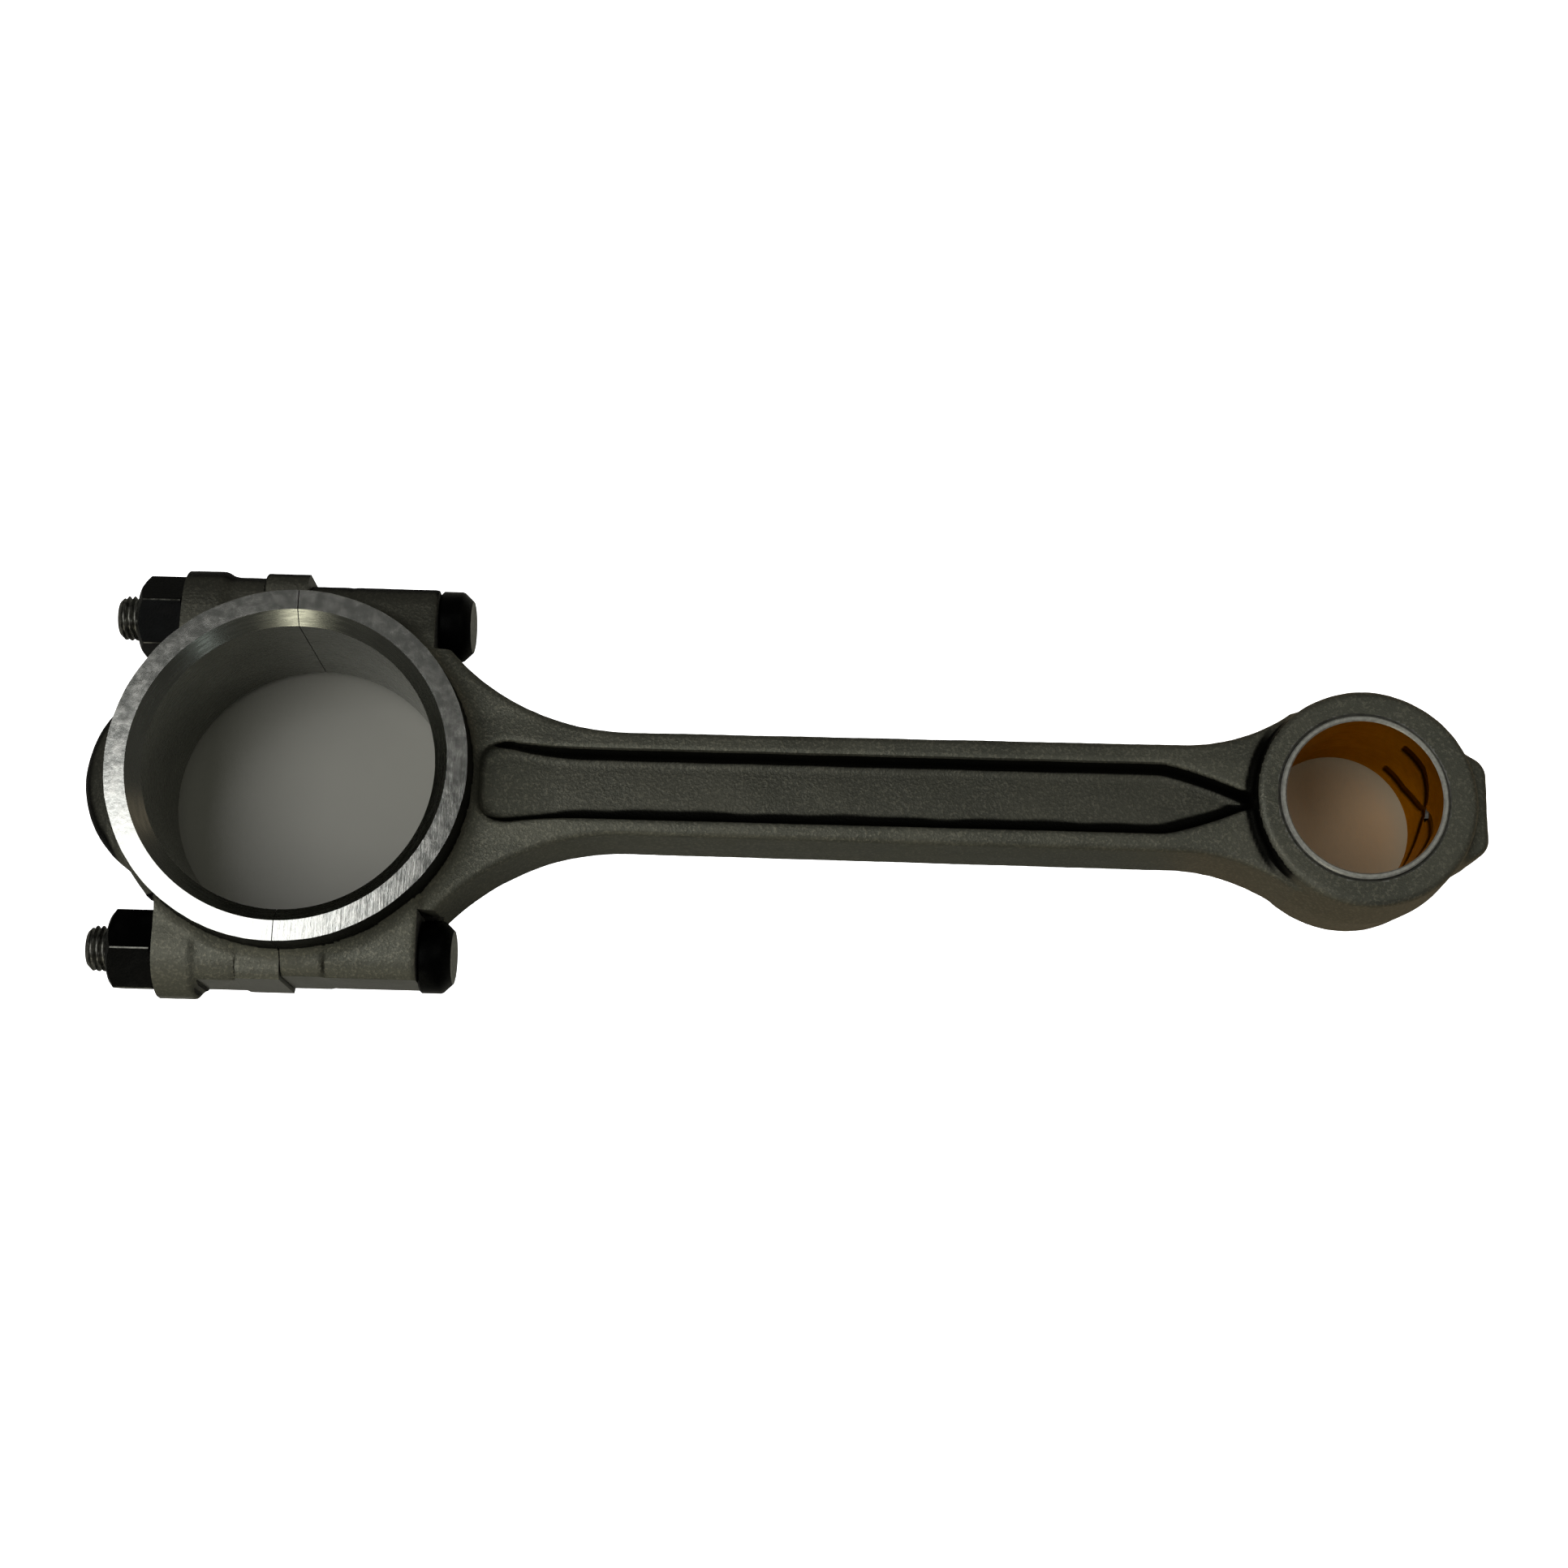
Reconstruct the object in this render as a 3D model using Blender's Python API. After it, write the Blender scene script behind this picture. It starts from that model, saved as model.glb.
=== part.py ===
"""A forged connecting rod with its bolted bearing cap, lying flat.

+X runs along the shank from the big end to the small end, +Y across it and +Z up through its thickness. The
origin is under the middle of the whole rod, on the plane that the big end's lower thrust face lies on.
"""

import math

import bmesh
import bpy
from mathutils import Matrix

MM = 0.001
GAP = 0.3 * MM  # left between pieces that touch on the real rod
OVERLAP = 2 * MM  # how far a joined shape reaches into its neighbour, and a cutter past the face it opens
BEYOND = 100 * MM  # how far a cutter reaches where it clears everything on its side

# Driving dimensions: the two bores and the distance between them
CENTRES = 228.6 * MM
BIG_BORE_R = 31.0 * MM
BIG_WIDTH = 39.6 * MM
PIN_BORE_R = 16.7 * MM
BUSH_WALL = 1.2 * MM
BUSH_LENGTH = 30.2 * MM

# Big end: the machined thrust ring that stands proud of the forging
RING_R = 38.2 * MM
RING_EDGE = 0.6 * MM
BORE_CHAMFER = 2.9 * MM

# Forging
FORGED_HALF = 10.8 * MM  # half thickness of shank and bolt bosses
PLATE_HALF = FORGED_HALF - 0.2 * MM
SHANK_HALF = 11.8 * MM
FLARE_R = 53.0 * MM
FLARE_START = 71.2 * MM
NECK_R = 39.0 * MM
NECK_START = 190.0 * MM
EDGE_ROUND = 1.4 * MM

# Channel of the I-section, sunk into both sides of the shank
WEB_HALF = 4.8 * MM
CHANNEL_START = 41.0 * MM
CHANNEL_WIDE = 9.6 * MM
CHANNEL_HALF = 7.8 * MM
CHANNEL_NARROWS = 62.0 * MM
CHANNEL_TAPERS = 182.0 * MM
CHANNEL_END = 206.5 * MM
CHANNEL_DRAFT = 1.5 * MM  # how far the wall leans in between the face and the floor
CHANNEL_CORNER = 3.0 * MM
TIP_DRAFT = 4  # how many times further the channel's pointed tip leans in than its walls
TIP_FULLNESS = 1.7

# Small end
EYE_HALF = 14.5 * MM
EYE_R = 24.6 * MM
EYE_FACE_R = 23.6 * MM
EYE_SHIFT = 0.9 * MM  # how much thicker the wall is on the far side of the bore
PAD_REACH = 28.2 * MM
PAD_HALF = 9.5 * MM
PAD_BASE_HALF = 12.5 * MM
PAD_HALF_HEIGHT = 9.0 * MM
PAD_BEVEL = 5.0 * MM
PAD_START = 15.0 * MM
BUSH_EDGE = 0.4 * MM
SEAT_CHAMFER = 0.5 * MM
OIL_HOLE_R = 1.6 * MM

# Bolts and nuts: M10 x 1.25
BOLT_Y = 37.2 * MM
BOLT_R = 5.0 * MM
HEAD_SEAT = 28.2 * MM
HEAD_R = 7.8 * MM
HEAD_HEIGHT = 7.1 * MM
HEAD_CHAMFER = 2.2 * MM
NUT_SEAT = 27.2 * MM
NUT_HEIGHT = 10.3 * MM
NUT_ACROSS_FLATS = 16.7 * MM
NUT_LEFT_TURN = math.radians(-9)  # where each nut stopped, from a corner standing up
NUT_RIGHT_TURN = math.radians(8)
NUT_CHAMFER = 1.3 * MM
THREAD_END = 42.8 * MM
THREAD_CHAMFER = 1.1 * MM
SPOT_R = 10.7 * MM
SPOT_OPEN = 9.9 * MM  # the seat runs out through the whole thickness this far inside the bolt's axis

# Bosses round the bolts
ROD_SIDE = 44.4 * MM
ROD_FLANGE_SIDE = 43.7 * MM
ROD_FLANGE_END = 8.9 * MM
ROD_FLANGE_CORNER = 2.0 * MM
CAP_SIDE = 45.2 * MM
CAP_FLANGE_SIDE = 45.4 * MM
CAP_FLANGE_END = 9.6 * MM
CAP_FLANGE_CORNER = 4.0 * MM
FLANGE_HALF = FORGED_HALF - 0.5 * MM
BOSS_CORNER = 5.5 * MM
BOSS_INNER = 25.0 * MM
CAP_RAW_END = 28.2 * MM
COLLAR_R = 10.4 * MM
COLLAR_LENGTH = 8.4 * MM

# Cap
ARCH_R = 40.0 * MM
CROWN_R = 24.0 * MM
CROWN_REACH = 46.8 * MM
CROWN_HALF = 7.6 * MM

# Where the rod's own axes sit in the world
BIG_END_X = (CROWN_REACH - CENTRES - PAD_REACH) / 2
MID_HEIGHT = BIG_WIDTH / 2

ROUND_STEPS = 96
BOLT_STEPS = 32


# ---------------------------------------------------------------- outlines


def arc(centre, radius, start, end, steps):
    """Points on an arc, with both ends, angles in degrees."""
    points = []
    for i in range(steps + 1):
        turn = math.radians(start + (end - start) * i / steps)
        points.append((centre[0] + radius * math.cos(turn), centre[1] + radius * math.sin(turn)))
    return points


def mirrored(upper):
    """A closed outline from its upper half, which runs from its -X end to its +X end."""
    lower = [(x, -y) for x, y in upper if y > 0]
    return upper + lower[::-1]


def plate_outline():
    """The rod's forging in plan: bolt shoulders, flare, shank and the neck that runs into the eye."""
    flare_centre = (FLARE_START, SHANK_HALF + FLARE_R)
    flare_turn = math.degrees(math.acos((FLARE_START - HEAD_SEAT) / FLARE_R))
    neck_centre = (NECK_START, SHANK_HALF + NECK_R)
    reach = math.degrees(math.atan2(neck_centre[1], CENTRES - NECK_START))
    upper = [(-OVERLAP, BOLT_Y), (HEAD_SEAT, BOLT_Y)]
    upper += arc(flare_centre, FLARE_R, 180 + flare_turn, 270, 14)
    upper += arc(neck_centre, NECK_R, 270, 360 - reach, 10)
    upper += [(CENTRES, BUSH_LENGTH / 4)]
    return mirrored(upper)


def channel_outline(inset):
    """The I-section's channel in plan, with every side moved in by inset."""
    wide = CHANNEL_WIDE - inset
    half = CHANNEL_HALF - inset
    after_corner = CHANNEL_START + inset + CHANNEL_CORNER
    end = CHANNEL_END - TIP_DRAFT * inset
    upper = arc((after_corner, wide - CHANNEL_CORNER), CHANNEL_CORNER, 180, 90, 5)
    for i in range(1, 9):
        share = i / 8
        x = after_corner + (CHANNEL_NARROWS - after_corner) * share
        upper.append((x, half + (wide - half) * (1 - share) ** 2))
    for i in range(1, 10):
        share = i / 10
        x = CHANNEL_TAPERS + (end - CHANNEL_TAPERS) * share
        upper.append((x, half * (1 - share**TIP_FULLNESS)))
    return mirrored([*upper, (end, 0)])


def boss_section(side, outer, half, corner):
    """The boss round one side's bolt in section, as (y, z) points: rounded on the outside only."""
    points = arc((outer - corner, half - corner), corner, 90, 0, 5)
    points += arc((outer - corner, corner - half), corner, 0, -90, 5)
    points += [(BOSS_INNER, -half), (BOSS_INNER, half)]
    return [(side * y, z) for y, z in points]


def seat_section(side):
    """What a bolt seat clears away, as (y, z) points from the bolt's axis: round towards the rod's middle."""
    turn = math.degrees(math.acos(SPOT_OPEN / SPOT_R))
    points = [(-SPOT_OPEN, BEYOND), *arc((0, 0), SPOT_R, 180 - turn, 180 + turn, 6), (-SPOT_OPEN, -BEYOND)]
    points += [(BEYOND, -BEYOND), (BEYOND, BEYOND)]
    return [(side * y, z) for y, z in points]


# ---------------------------------------------------------------- solids


def material(name, colour, roughness, metallic):
    made = bpy.data.materials.new(name)
    made.use_nodes = True
    shader = made.node_tree.nodes["Principled BSDF"]
    shader.inputs["Base Color"].default_value = (*colour, 1)
    shader.inputs["Roughness"].default_value = roughness
    shader.inputs["Metallic"].default_value = metallic
    return made


def add_object(name, bm, parent, finish=None, location=(0, 0, 0)):
    """An object holding this bmesh, with its faces turned outwards and its round sides shaded smooth."""
    bmesh.ops.recalc_face_normals(bm, faces=bm.faces)
    mesh = bpy.data.meshes.new(name)
    bm.to_mesh(mesh)
    bm.free()
    mesh.shade_smooth()
    mesh.set_sharp_from_angle(angle=math.radians(30))
    made = bpy.data.objects.new(name, mesh)
    bpy.context.collection.objects.link(made)
    made.parent = parent
    made.location = location
    if finish:
        mesh.materials.append(finish)
    return made


def loft(lower, upper, low_z, high_z):
    """A closed solid between two outlines of as many points each, at two heights."""
    bm = bmesh.new()
    bottom = [bm.verts.new((x, y, low_z)) for x, y in lower]
    top = [bm.verts.new((x, y, high_z)) for x, y in upper]
    bm.faces.new(bottom)
    bm.faces.new(top)
    for i in range(len(bottom)):
        following = (i + 1) % len(bottom)
        bm.faces.new((bottom[i], bottom[following], top[following], top[i]))
    return bm


def slab(outline, half, rounding=0):
    """An outline given thickness about its middle, with its upper and lower rims rounded."""
    bm = loft(outline, outline, -half, half)
    if rounding:
        rims = [e for e in bm.edges if e.verts[0].co.z == e.verts[1].co.z]
        bmesh.ops.bevel(bm, geom=rims, offset=rounding, segments=3, profile=0.5, affect="EDGES")
    return bm


def turned(profile, steps):
    """A solid of revolution about Z, from (radius, z) points; it closes on the axis or as a ring."""
    bm = bmesh.new()
    verts = [bm.verts.new((r, 0, z)) for r, z in profile]
    edges = [bm.edges.new(pair) for pair in zip(verts, verts[1:])]
    if min(r for r, z in profile) > 0:
        edges.append(bm.edges.new((verts[-1], verts[0])))
    bmesh.ops.spin(
        bm, geom=verts + edges, cent=(0, 0, 0), axis=(0, 0, 1), angle=math.tau, steps=steps, use_merge=True
    )
    bmesh.ops.remove_doubles(bm, verts=bm.verts, dist=0.001 * MM)
    return bm


def pin(radius, start, end, steps=BOLT_STEPS, chamfer=0):
    """A round bar along X between two places, chamfered at its far end."""
    span = abs(end - start)
    rim = [(radius, 0), (radius, span - chamfer), (radius - chamfer, span)]
    bm = turned([(0, 0), *rim, (0, span)], steps)
    turn = Matrix.Rotation(math.copysign(math.pi / 2, end - start), 4, "Y")
    bmesh.ops.transform(bm, verts=bm.verts, matrix=Matrix.Translation((start, 0, 0)) @ turn)
    return bm


def bar(section, start, end):
    """A (y, z) section run along X between two places."""
    bm = loft(section, section, start, end)
    turn = Matrix(((0, 0, 1, 0), (1, 0, 0, 0), (0, 1, 0, 0), (0, 0, 0, 1)))
    bmesh.ops.transform(bm, verts=bm.verts, matrix=turn)
    return bm


def block(low, high):
    bm = bmesh.new()
    bmesh.ops.create_cube(bm, size=1)
    middle = [(a + b) / 2 for a, b in zip(low, high)]
    sides = [b - a for a, b in zip(low, high)]
    bmesh.ops.scale(bm, vec=sides, verts=bm.verts)
    bmesh.ops.translate(bm, vec=middle, verts=bm.verts)
    return bm


def combine(target, operation, name, bm, location=(0, 0, 0)):
    """Joins this shape to the target, or cuts it away."""
    tool = add_object(name, bm, target.parent, location=location)
    tool.hide_render = True
    tool.display_type = "WIRE"
    modifier = target.modifiers.new(name, "BOOLEAN")
    modifier.operation = operation
    modifier.solver = "EXACT"
    modifier.object = tool


# ---------------------------------------------------------------- parts


def big_bore():
    """The crankpin bore with its chamfers, as a cutter."""
    half = BIG_WIDTH / 2
    mouth = BIG_BORE_R + BORE_CHAMFER
    clear = half + OVERLAP
    steps = [(mouth, -clear), (mouth, -half), (BIG_BORE_R, BORE_CHAMFER - half)]
    steps += [(r, -z) for r, z in steps[::-1]]
    return turned([(0, -clear), *steps, (0, clear)], ROUND_STEPS)


def thrust_ring():
    half = BIG_WIDTH / 2
    lower = [(RING_R - RING_EDGE, -half), (RING_R, RING_EDGE - half)]
    upper = [(r, -z) for r, z in lower[::-1]]
    return turned([(0, -half), *lower, *upper, (0, half)], ROUND_STEPS)


def cut_joint_face(target, side):
    """Cuts away everything on one side of the split between rod and cap, +1 for the rod's side."""
    near = -side * GAP / 2
    low = (min(near, side * BEYOND), -BEYOND, -BEYOND)
    high = (max(near, side * BEYOND), BEYOND, BEYOND)
    combine(target, "DIFFERENCE", "joint_face_cutter", block(low, high))


def cut_bolt_seats(target, towards, seat):
    """The bolt holes and the flats that heads and nuts bear on."""
    for side in (-1, 1):
        place = (0, side * BOLT_Y, 0)
        spot = bar(seat_section(side), towards * seat, towards * BEYOND)
        combine(target, "DIFFERENCE", "spot_face_cutter", spot, place)
        combine(target, "DIFFERENCE", "bolt_hole_cutter", pin(BOLT_R + GAP, -BEYOND, BEYOND), place)


def eye():
    """The small end's drum: its outside leans in from a parting line at mid height to a rounded rim."""
    edge = EDGE_ROUND
    lower = [(EYE_FACE_R - edge, -EYE_HALF), (EYE_FACE_R, edge - EYE_HALF)]
    upper = [(r, -z) for r, z in lower[::-1]]
    return turned([(0, -EYE_HALF), *lower, (EYE_R, 0), *upper, (0, EYE_HALF)], ROUND_STEPS)


def bush_seat():
    """The bore that the bush is pressed into, with a lead at each mouth, as a cutter."""
    seat_r = PIN_BORE_R + BUSH_WALL + GAP
    mouth = seat_r + SEAT_CHAMFER
    clear = EYE_HALF + OVERLAP
    lower = [(mouth, -clear), (mouth, -EYE_HALF), (seat_r, SEAT_CHAMFER - EYE_HALF)]
    upper = [(r, -z) for r, z in lower[::-1]]
    return turned([(0, -clear), *lower, *upper, (0, clear)], ROUND_STEPS)


def rod_body(frame, finish):
    rod = add_object("rod_body", slab(plate_outline(), PLATE_HALF, EDGE_ROUND), frame, finish)
    combine(rod, "UNION", "thrust_ring_half", thrust_ring())
    for side in (-1, 1):
        flange = boss_section(side, ROD_FLANGE_SIDE, FLANGE_HALF, ROD_FLANGE_CORNER)
        boss = boss_section(side, ROD_SIDE, FORGED_HALF, BOSS_CORNER)
        combine(rod, "UNION", "joint_flange", bar(flange, -OVERLAP, ROD_FLANGE_END + OVERLAP / 4))
        combine(rod, "UNION", "bolt_boss", bar(boss, ROD_FLANGE_END, HEAD_SEAT + OVERLAP / 2))
    combine(rod, "UNION", "small_end_eye", eye(), (CENTRES + EYE_SHIFT, 0, 0))
    pad = [(PAD_START, PAD_BASE_HALF), (PAD_REACH - PAD_BEVEL, PAD_BASE_HALF), (PAD_REACH, PAD_HALF)]
    combine(rod, "UNION", "eye_pad", slab(mirrored(pad), PAD_HALF_HEIGHT, EDGE_ROUND), (CENTRES, 0, 0))
    cut_joint_face(rod, -1)
    combine(rod, "DIFFERENCE", "big_bore_cutter", big_bore())
    cut_bolt_seats(rod, 1, HEAD_SEAT)
    over = OVERLAP * CHANNEL_DRAFT / (FORGED_HALF - WEB_HALF)
    for side in (-1, 1):
        heights = (side * WEB_HALF, side * (FORGED_HALF + OVERLAP))
        channel = loft(channel_outline(CHANNEL_DRAFT), channel_outline(-over), *heights)
        combine(rod, "DIFFERENCE", "channel_cutter", channel)
    combine(rod, "DIFFERENCE", "bush_seat_cutter", bush_seat(), (CENTRES, 0, 0))
    oil = pin(OIL_HOLE_R, PIN_BORE_R / 2, PAD_REACH + OVERLAP, 16)
    combine(rod, "DIFFERENCE", "oil_hole_cutter", oil, (CENTRES, 0, 0))


def bearing_cap(frame, finish):
    arch = arc((0, 0), ARCH_R, -90, -270, 48) + [(OVERLAP, ARCH_R), (OVERLAP, -ARCH_R)]
    cap = add_object("bearing_cap", slab(arch, PLATE_HALF), frame, finish)
    crown = slab(arc((0, 0), CROWN_R, 0, 354, 59), CROWN_HALF, EDGE_ROUND)
    combine(cap, "UNION", "crown", crown, (CROWN_R - CROWN_REACH, 0, 0))
    combine(cap, "UNION", "thrust_ring_half", thrust_ring())
    for side in (-1, 1):
        flange = boss_section(side, CAP_FLANGE_SIDE, FLANGE_HALF, CAP_FLANGE_CORNER)
        boss = boss_section(side, CAP_SIDE, FORGED_HALF, BOSS_CORNER)
        combine(cap, "UNION", "joint_flange", bar(flange, OVERLAP, -CAP_FLANGE_END - OVERLAP / 4))
        combine(cap, "UNION", "bolt_boss", bar(boss, -CAP_FLANGE_END, -CAP_RAW_END))
        collar = pin(COLLAR_R, COLLAR_LENGTH - NUT_SEAT, -CAP_RAW_END, 40)
        combine(cap, "UNION", "nut_collar", collar, (0, side * BOLT_Y, 0))
    cut_joint_face(cap, 1)
    combine(cap, "DIFFERENCE", "big_bore_cutter", big_bore())
    cut_bolt_seats(cap, -1, NUT_SEAT)


def rod_bolt(name, side, frame, finish):
    """A plain-headed bolt, its origin on its axis at the underside of the head."""
    place = (HEAD_SEAT, side * BOLT_Y, 0)
    shank = pin(BOLT_R, HEAD_HEIGHT / 2, -(HEAD_SEAT + THREAD_END), chamfer=THREAD_CHAMFER)
    bolt = add_object(name, shank, frame, finish, place)
    head = pin(HEAD_R, GAP, GAP + HEAD_HEIGHT, 48, HEAD_CHAMFER)
    combine(bolt, "UNION", name + "_head", head, place)


def nut(name, side, turn, frame, finish):
    """A plain hexagon nut, its origin on its axis at the face that bears on the cap."""
    corner = NUT_ACROSS_FLATS / 2 / math.cos(math.pi / 6)
    corners = arc((0, 0), corner, 90, 390, 5)
    place = (-NUT_SEAT - GAP, side * BOLT_Y, 0)
    made = add_object(name, bar(corners, 0, -NUT_HEIGHT), frame, finish, place)
    made.rotation_euler.x = turn
    cone = pin(corner + GAP, OVERLAP, -NUT_HEIGHT, 48, NUT_CHAMFER + GAP)
    combine(made, "INTERSECT", name + "_cone", cone, place)
    hole = pin(BOLT_R + GAP, OVERLAP, -NUT_HEIGHT - OVERLAP)
    combine(made, "DIFFERENCE", name + "_hole", hole, place)


def small_end_bush(frame, finish):
    outer = PIN_BORE_R + BUSH_WALL
    half = BUSH_LENGTH / 2
    edge = BUSH_EDGE
    upper = [(outer, half - edge), (outer - edge, half), (PIN_BORE_R + edge, half), (PIN_BORE_R, half - edge)]
    profile = [(r, -z) for r, z in upper[::-1]] + upper
    bush = add_object("small_end_bush", turned(profile, ROUND_STEPS), frame, finish, (CENTRES, 0, 0))
    oil = pin(OIL_HOLE_R, PIN_BORE_R / 2, outer + OVERLAP, 16)
    combine(bush, "DIFFERENCE", "bush_oil_cutter", oil, (CENTRES, 0, 0))


def main():
    for leftover in list(bpy.data.objects):
        bpy.data.objects.remove(leftover)
    frame = bpy.data.objects.new("rod_axes", None)
    bpy.context.collection.objects.link(frame)
    frame.location = (BIG_END_X, 0, MID_HEIGHT)

    forging = material("forged_steel", (0.17, 0.165, 0.15), 0.62, 0.7)
    black_oxide = material("black_oxide", (0.02, 0.021, 0.023), 0.42, 0.8)
    bronze = material("bronze", (0.42, 0.27, 0.10), 0.38, 1.0)
    rod_body(frame, forging)
    bearing_cap(frame, forging)
    for name, side, turn in (("left", 1, NUT_LEFT_TURN), ("right", -1, NUT_RIGHT_TURN)):
        rod_bolt("rod_bolt_" + name, side, frame, black_oxide)
        nut("cap_nut_" + name, side, turn, frame, black_oxide)
    small_end_bush(frame, bronze)


main()
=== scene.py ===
"""The looks of the connecting rod: forged skins, threaded fasteners, the lined bush, materials and studio.

Shapes are drawn in rod axes, in millimetres: the origin is the centre of the big end, +X runs to the small
end and +Z up through the thickness. place() turns them into the row frame, in metres.
"""

import math

import bmesh
import bpy
import numpy as np
from mathutils import Matrix, Vector


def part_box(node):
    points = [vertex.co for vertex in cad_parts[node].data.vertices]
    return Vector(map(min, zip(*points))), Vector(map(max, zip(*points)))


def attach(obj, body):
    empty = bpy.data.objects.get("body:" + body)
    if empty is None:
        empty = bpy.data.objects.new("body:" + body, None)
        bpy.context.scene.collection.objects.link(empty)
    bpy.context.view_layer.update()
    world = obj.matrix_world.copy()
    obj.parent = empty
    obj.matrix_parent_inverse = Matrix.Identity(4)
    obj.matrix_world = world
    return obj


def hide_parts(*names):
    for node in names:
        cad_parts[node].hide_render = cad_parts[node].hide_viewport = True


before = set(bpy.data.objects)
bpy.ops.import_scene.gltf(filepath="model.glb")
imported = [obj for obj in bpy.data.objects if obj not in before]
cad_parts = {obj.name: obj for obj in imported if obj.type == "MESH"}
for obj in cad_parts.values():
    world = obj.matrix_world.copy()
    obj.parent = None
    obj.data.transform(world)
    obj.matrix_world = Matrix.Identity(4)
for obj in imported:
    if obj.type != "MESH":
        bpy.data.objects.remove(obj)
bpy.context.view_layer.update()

# ---------------------------------------------------------------- sizes

# Worked out from the frame, in metres
CAD_GAP = 0.0003
BIG_END = Vector((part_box("bearing_cap")[1].x + CAD_GAP / 2, 0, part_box("rod_body")[1].z / 2))
SMALL_END_X = (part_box("small_end_bush")[0].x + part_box("small_end_bush")[1].x) / 2

# In millimetres, in rod axes
CENTRES = 1000 * (SMALL_END_X - BIG_END.x)
RING_FACE = 1000 * BIG_END.z
BIG_BORE_R = 31.0
BORE_CHAMFER = 2.9
RING_R = 38.2
SPLIT_GAP = 0.2

FORGED_HALF = 10.8
PLATE_HALF = 10.6
SHANK_HALF = 11.55
SHANK_WIDENS = 0.5
FLARE_START = 71.2
FLARE_R = 53.0
NECK_START = 190.0
NECK_R = 43.0

WEB_HALF = 4.8
CHANNEL_START = 38.8
CHANNEL_WIDE = 10.3
CHANNEL_HALF = 7.8
CHANNEL_NARROWS = 62.0
CHANNEL_TAPERS = 186.0
CHANNEL_END = 208.5
CHANNEL_RISE = 2.4  # how much shallower it is where it meets the ring
CHANNEL_SHIFT = 0.4  # how far the dies had slipped sideways

EYE_HALF = 14.5
EYE_R = 24.6
EYE_FACE_R = 23.6
EYE_SHIFT = 0.9
PAD_REACH = 28.08
PAD_HALF = 9.5
PAD_BASE_HALF = 12.5
PAD_HALF_HEIGHT = 9.0
PIN_BORE_R = 16.7
BUSH_R = 17.9
BUSH_HALF = 15.1
BUSH_CLEAR = 0.12
LINING = 0.55
OIL_HOLE_R = 1.6

BOLT_Y = 37.2
BOLT_R = 5.0
PITCH = 1.25
HEAD_SEAT = 28.2
HEAD_R = 7.8
HEAD_HEIGHT = 7.1
HEAD_BEVEL = 2.3
SEAT_CLEAR = 0.05
BOLT_CLEAR = 0.2
WAIST_START = 9.0
WAIST_END = 14.0
NUT_SEAT = 27.2
NUT_HEIGHT = 10.3
NUT_ACROSS_FLATS = 16.7
NUT_CORNER_R = NUT_ACROSS_FLATS / math.sqrt(3)
NUT_CORNER_WEAR = 0.1  # how much is worn off the corners
NUT_LEFT_TURN = math.radians(81)  # from +Y to a corner
NUT_RIGHT_TURN = math.radians(98)
THREAD_END = 42.8
SPOT_R = 10.7
SPOT_OPEN = 9.9
HEAD_SPOT_R = 8.7
HEAD_SPOT_OPEN = 8.3

ROD_SIDE = 44.4
ROD_FLANGE_SIDE = 43.7
ROD_FLANGE_END = 8.9
ROD_MILLED = 0.25  # how much is milled off its sides
CAP_SIDE = 45.2
CAP_FLANGE_SIDE = 45.4
CAP_FLANGE_END = 9.6
CAP_EXTRA = 0.8  # how much further the cap reaches on the +Y side
BOSS_CORNER = 5.5
BOSS_INNER = 25.0
CAP_RAW_END = 28.2
COLLAR_R = 10.35
COLLAR_START = 19.0
ARCH_R = 40.0
CROWN_R = 24.0
CROWN_REACH = 46.77
CROWN_HALF = 7.6
GROOVE_HALF = 2.2
GROOVE_DEPTH = 0.45

SKIN_STEP = 0.6  # grid step of the forged skins, which the grid's own sizes are multiples of
GRID_MARGIN = 2.4
GRID_HEIGHT = 22.2
ROD_GRID_SIDE = 46.2
CAP_GRID_SIDE = 49.8
TURNED_STEPS = 180
FAR = 60.0  # further out than anything on the big end
TALL = 40.0  # higher than anything

# Which material of a forging a face takes
FORGED, FACED, BORED, MILLED = range(4)


# ---------------------------------------------------------------- fields
# A field gives the distance of points from a surface, below zero inside it. Its arguments may be of any
# shapes that numpy broadcasts together.


def rounded_max(a, b, radius):
    """The overlap of two shapes, with the edge between them rounded."""
    corner = np.hypot(np.maximum(a + radius, 0), np.maximum(b + radius, 0))
    return np.minimum(-radius, np.maximum(a, b)) + corner


def filleted_min(a, b, radius):
    """Two shapes joined, with a fillet in the corner between them."""
    corner = np.hypot(np.maximum(radius - a, 0), np.maximum(radius - b, 0))
    return np.maximum(radius, np.minimum(a, b)) - corner


def smooth_step(x, start, end):
    share = np.clip((x - start) / (end - start), 0, 1)
    return share * share * (3 - 2 * share)


def rounded_bar(across, height, outer, half, corner):
    """A section whose outer corners are rounded, running inwards without end."""
    a = across - (outer - corner)
    b = height - (half - corner)
    return np.hypot(np.maximum(a, 0), np.maximum(b, 0)) + np.minimum(np.maximum(a, b), 0) - corner


def unevenness(x, y, z):
    """The slight waviness of a forged surface."""
    wave = np.sin(0.31 * x + 0.23 * y + 0.4) * np.cos(0.27 * y - 0.35 * z + 1.1)
    wave = wave + 0.6 * np.sin(0.83 * x - 0.57 * y + 2.0) * np.cos(0.71 * z + 0.64 * x)
    wave = wave + 0.35 * np.sin(1.9 * y + 1.3 * x) * np.sin(1.7 * x - 1.5 * z + 0.7)
    return 0.045 * wave


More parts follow.
